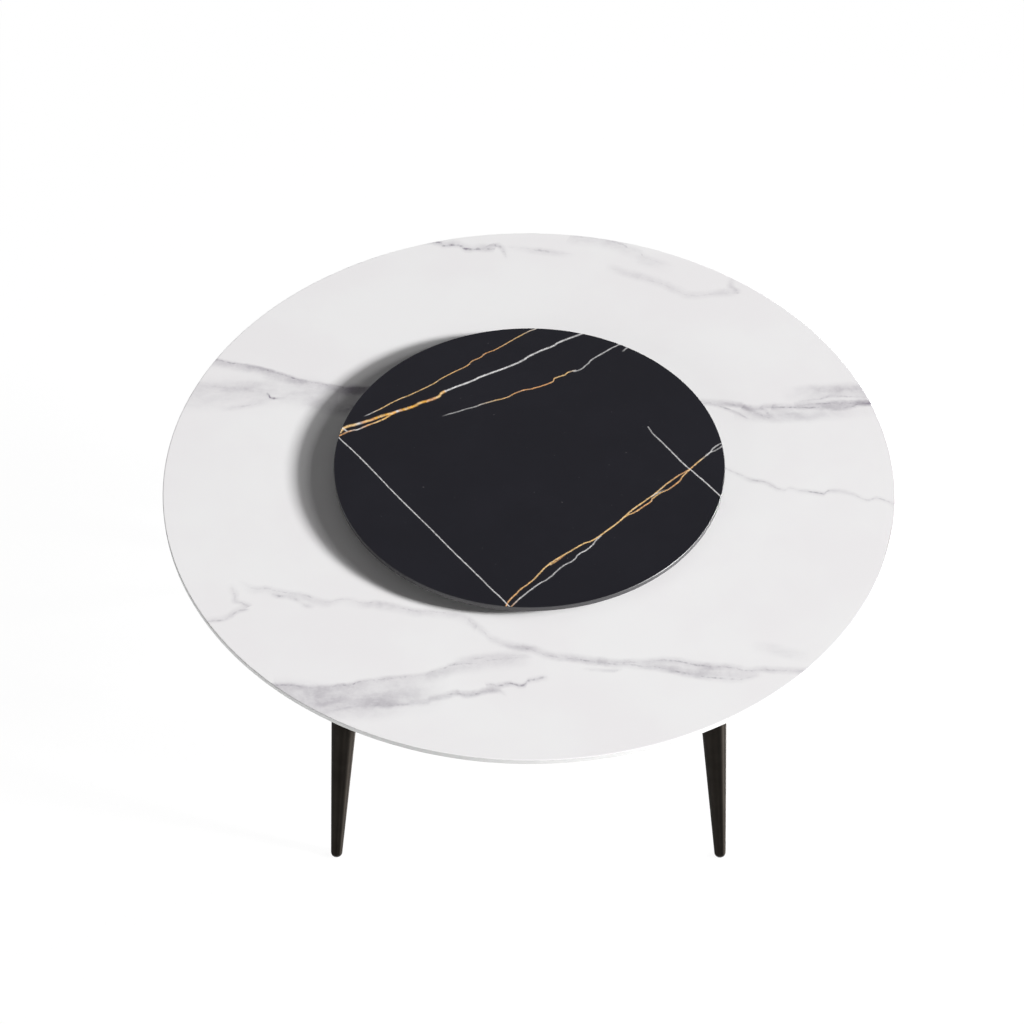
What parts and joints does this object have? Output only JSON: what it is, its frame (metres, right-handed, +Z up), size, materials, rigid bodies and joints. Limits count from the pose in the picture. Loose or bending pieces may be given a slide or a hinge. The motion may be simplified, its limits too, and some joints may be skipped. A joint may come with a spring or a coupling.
{
  "type": "dining table with lazy susan",
  "caption": "Round stone dining table on splayed tapered metal legs, with a smaller stone turntable that spins on a ball-bearing ring in the middle of the top.",
  "frame": {"origin": "on the floor, under the middle of the table", "axes": "+Z up along the turntable's axis, -Y towards the front of the picture, +X to its right"},
  "size_m": [1.4998, 1.4998, 0.785],
  "materials": {
    "white_stone": "honed white stone with grey veins",
    "black_stone": "polished black stone with gold and white veins",
    "frame_paint": "matt black powder coat",
    "leg_paint": "satin black-brown lacquer",
    "black_plastic": "fine moulded grain",
    "zinc_steel": "bright zinc plate",
    "bearing_aluminium": "turned",
    "ball_steel": "polished bearing steel",
    "cage_nylon": "natural nylon",
    "black_rubber": "matt",
    "clear_silicone": "translucent"
  },
  "bodies": {
    "table": {"table_top": "white_stone", "diagonal_beam": "frame_paint", "half_beam_front_right": "frame_paint", "half_beam_back_left": "frame_paint", "cross_plate": "frame_paint", "rail_front": "frame_paint", "rail_right": "frame_paint", "rail_back": "frame_paint", "rail_left": "frame_paint", "leg_mount_plate_front_left": "frame_paint", "leg_mount_plate_front_right": "frame_paint", "leg_mount_plate_back_right": "frame_paint", "leg_mount_plate_back_left": "frame_paint", "leg_front_left": "leg_paint", "leg_front_right": "leg_paint", "leg_back_right": "leg_paint", "leg_back_left": "leg_paint", "leg_flange_front_left": "leg_paint", "leg_flange_front_right": "leg_paint", "leg_flange_back_right": "leg_paint", "leg_flange_back_left": "leg_paint", "beam_end_caps": "black_plastic", "leg_bolts": "zinc_steel", "leg_bolt_washers": "zinc_steel", "leg_weld_nuts": "zinc_steel", "foot_insert_front_left": "zinc_steel", "foot_insert_front_right": "zinc_steel", "foot_insert_back_right": "zinc_steel", "foot_insert_back_left": "zinc_steel", "bearing_outer_ring": "bearing_aluminium", "ball_fill_plug": "bearing_aluminium", "bearing_base_pads": "black_rubber", "top_bond_pads": "clear_silicone"},
    "turntable": {"turntable_slab": "black_stone", "bearing_inner_ring": "bearing_aluminium", "turntable_bond_pads": "clear_silicone"},
    "ball_race": {"ball_cage": "cage_nylon", "bearing_balls": "ball_steel"},
    "glide_front_left": {"glide_pad_front_left": "black_plastic", "glide_stud_front_left": "zinc_steel"},
    "glide_front_right": {"glide_pad_front_right": "black_plastic", "glide_stud_front_right": "zinc_steel"},
    "glide_back_right": {"glide_pad_back_right": "black_plastic", "glide_stud_back_right": "zinc_steel"},
    "glide_back_left": {"glide_pad_back_left": "black_plastic", "glide_stud_back_left": "zinc_steel"}
  },
  "joints": [
    {"name": "turntable_spin", "type": "hinge", "parent": "table", "child": "turntable", "pos_m": [0, 0, 0.763], "axis": [0, 0, 1], "continuous": true},
    {"name": "ball_race_orbit", "type": "hinge", "parent": "table", "child": "ball_race", "pos_m": [0, 0, 0.762], "axis": [0, 0, 1], "continuous": true},
    {"name": "glide_screw_front_left", "type": "slide", "parent": "table", "child": "glide_front_left", "axis": [0, 0, -1], "range_m": [0, 0.01]},
    {"name": "glide_screw_front_right", "type": "slide", "parent": "table", "child": "glide_front_right", "axis": [0, 0, -1], "range_m": [0, 0.01]},
    {"name": "glide_screw_back_right", "type": "slide", "parent": "table", "child": "glide_back_right", "axis": [0, 0, -1], "range_m": [0, 0.01]},
    {"name": "glide_screw_back_left", "type": "slide", "parent": "table", "child": "glide_back_left", "axis": [0, 0, -1], "range_m": [0, 0.01]}
  ],
  "couplings": [
    {"joint": "ball_race_orbit", "follows": "turntable_spin", "ratio": 0.492}
  ]
}
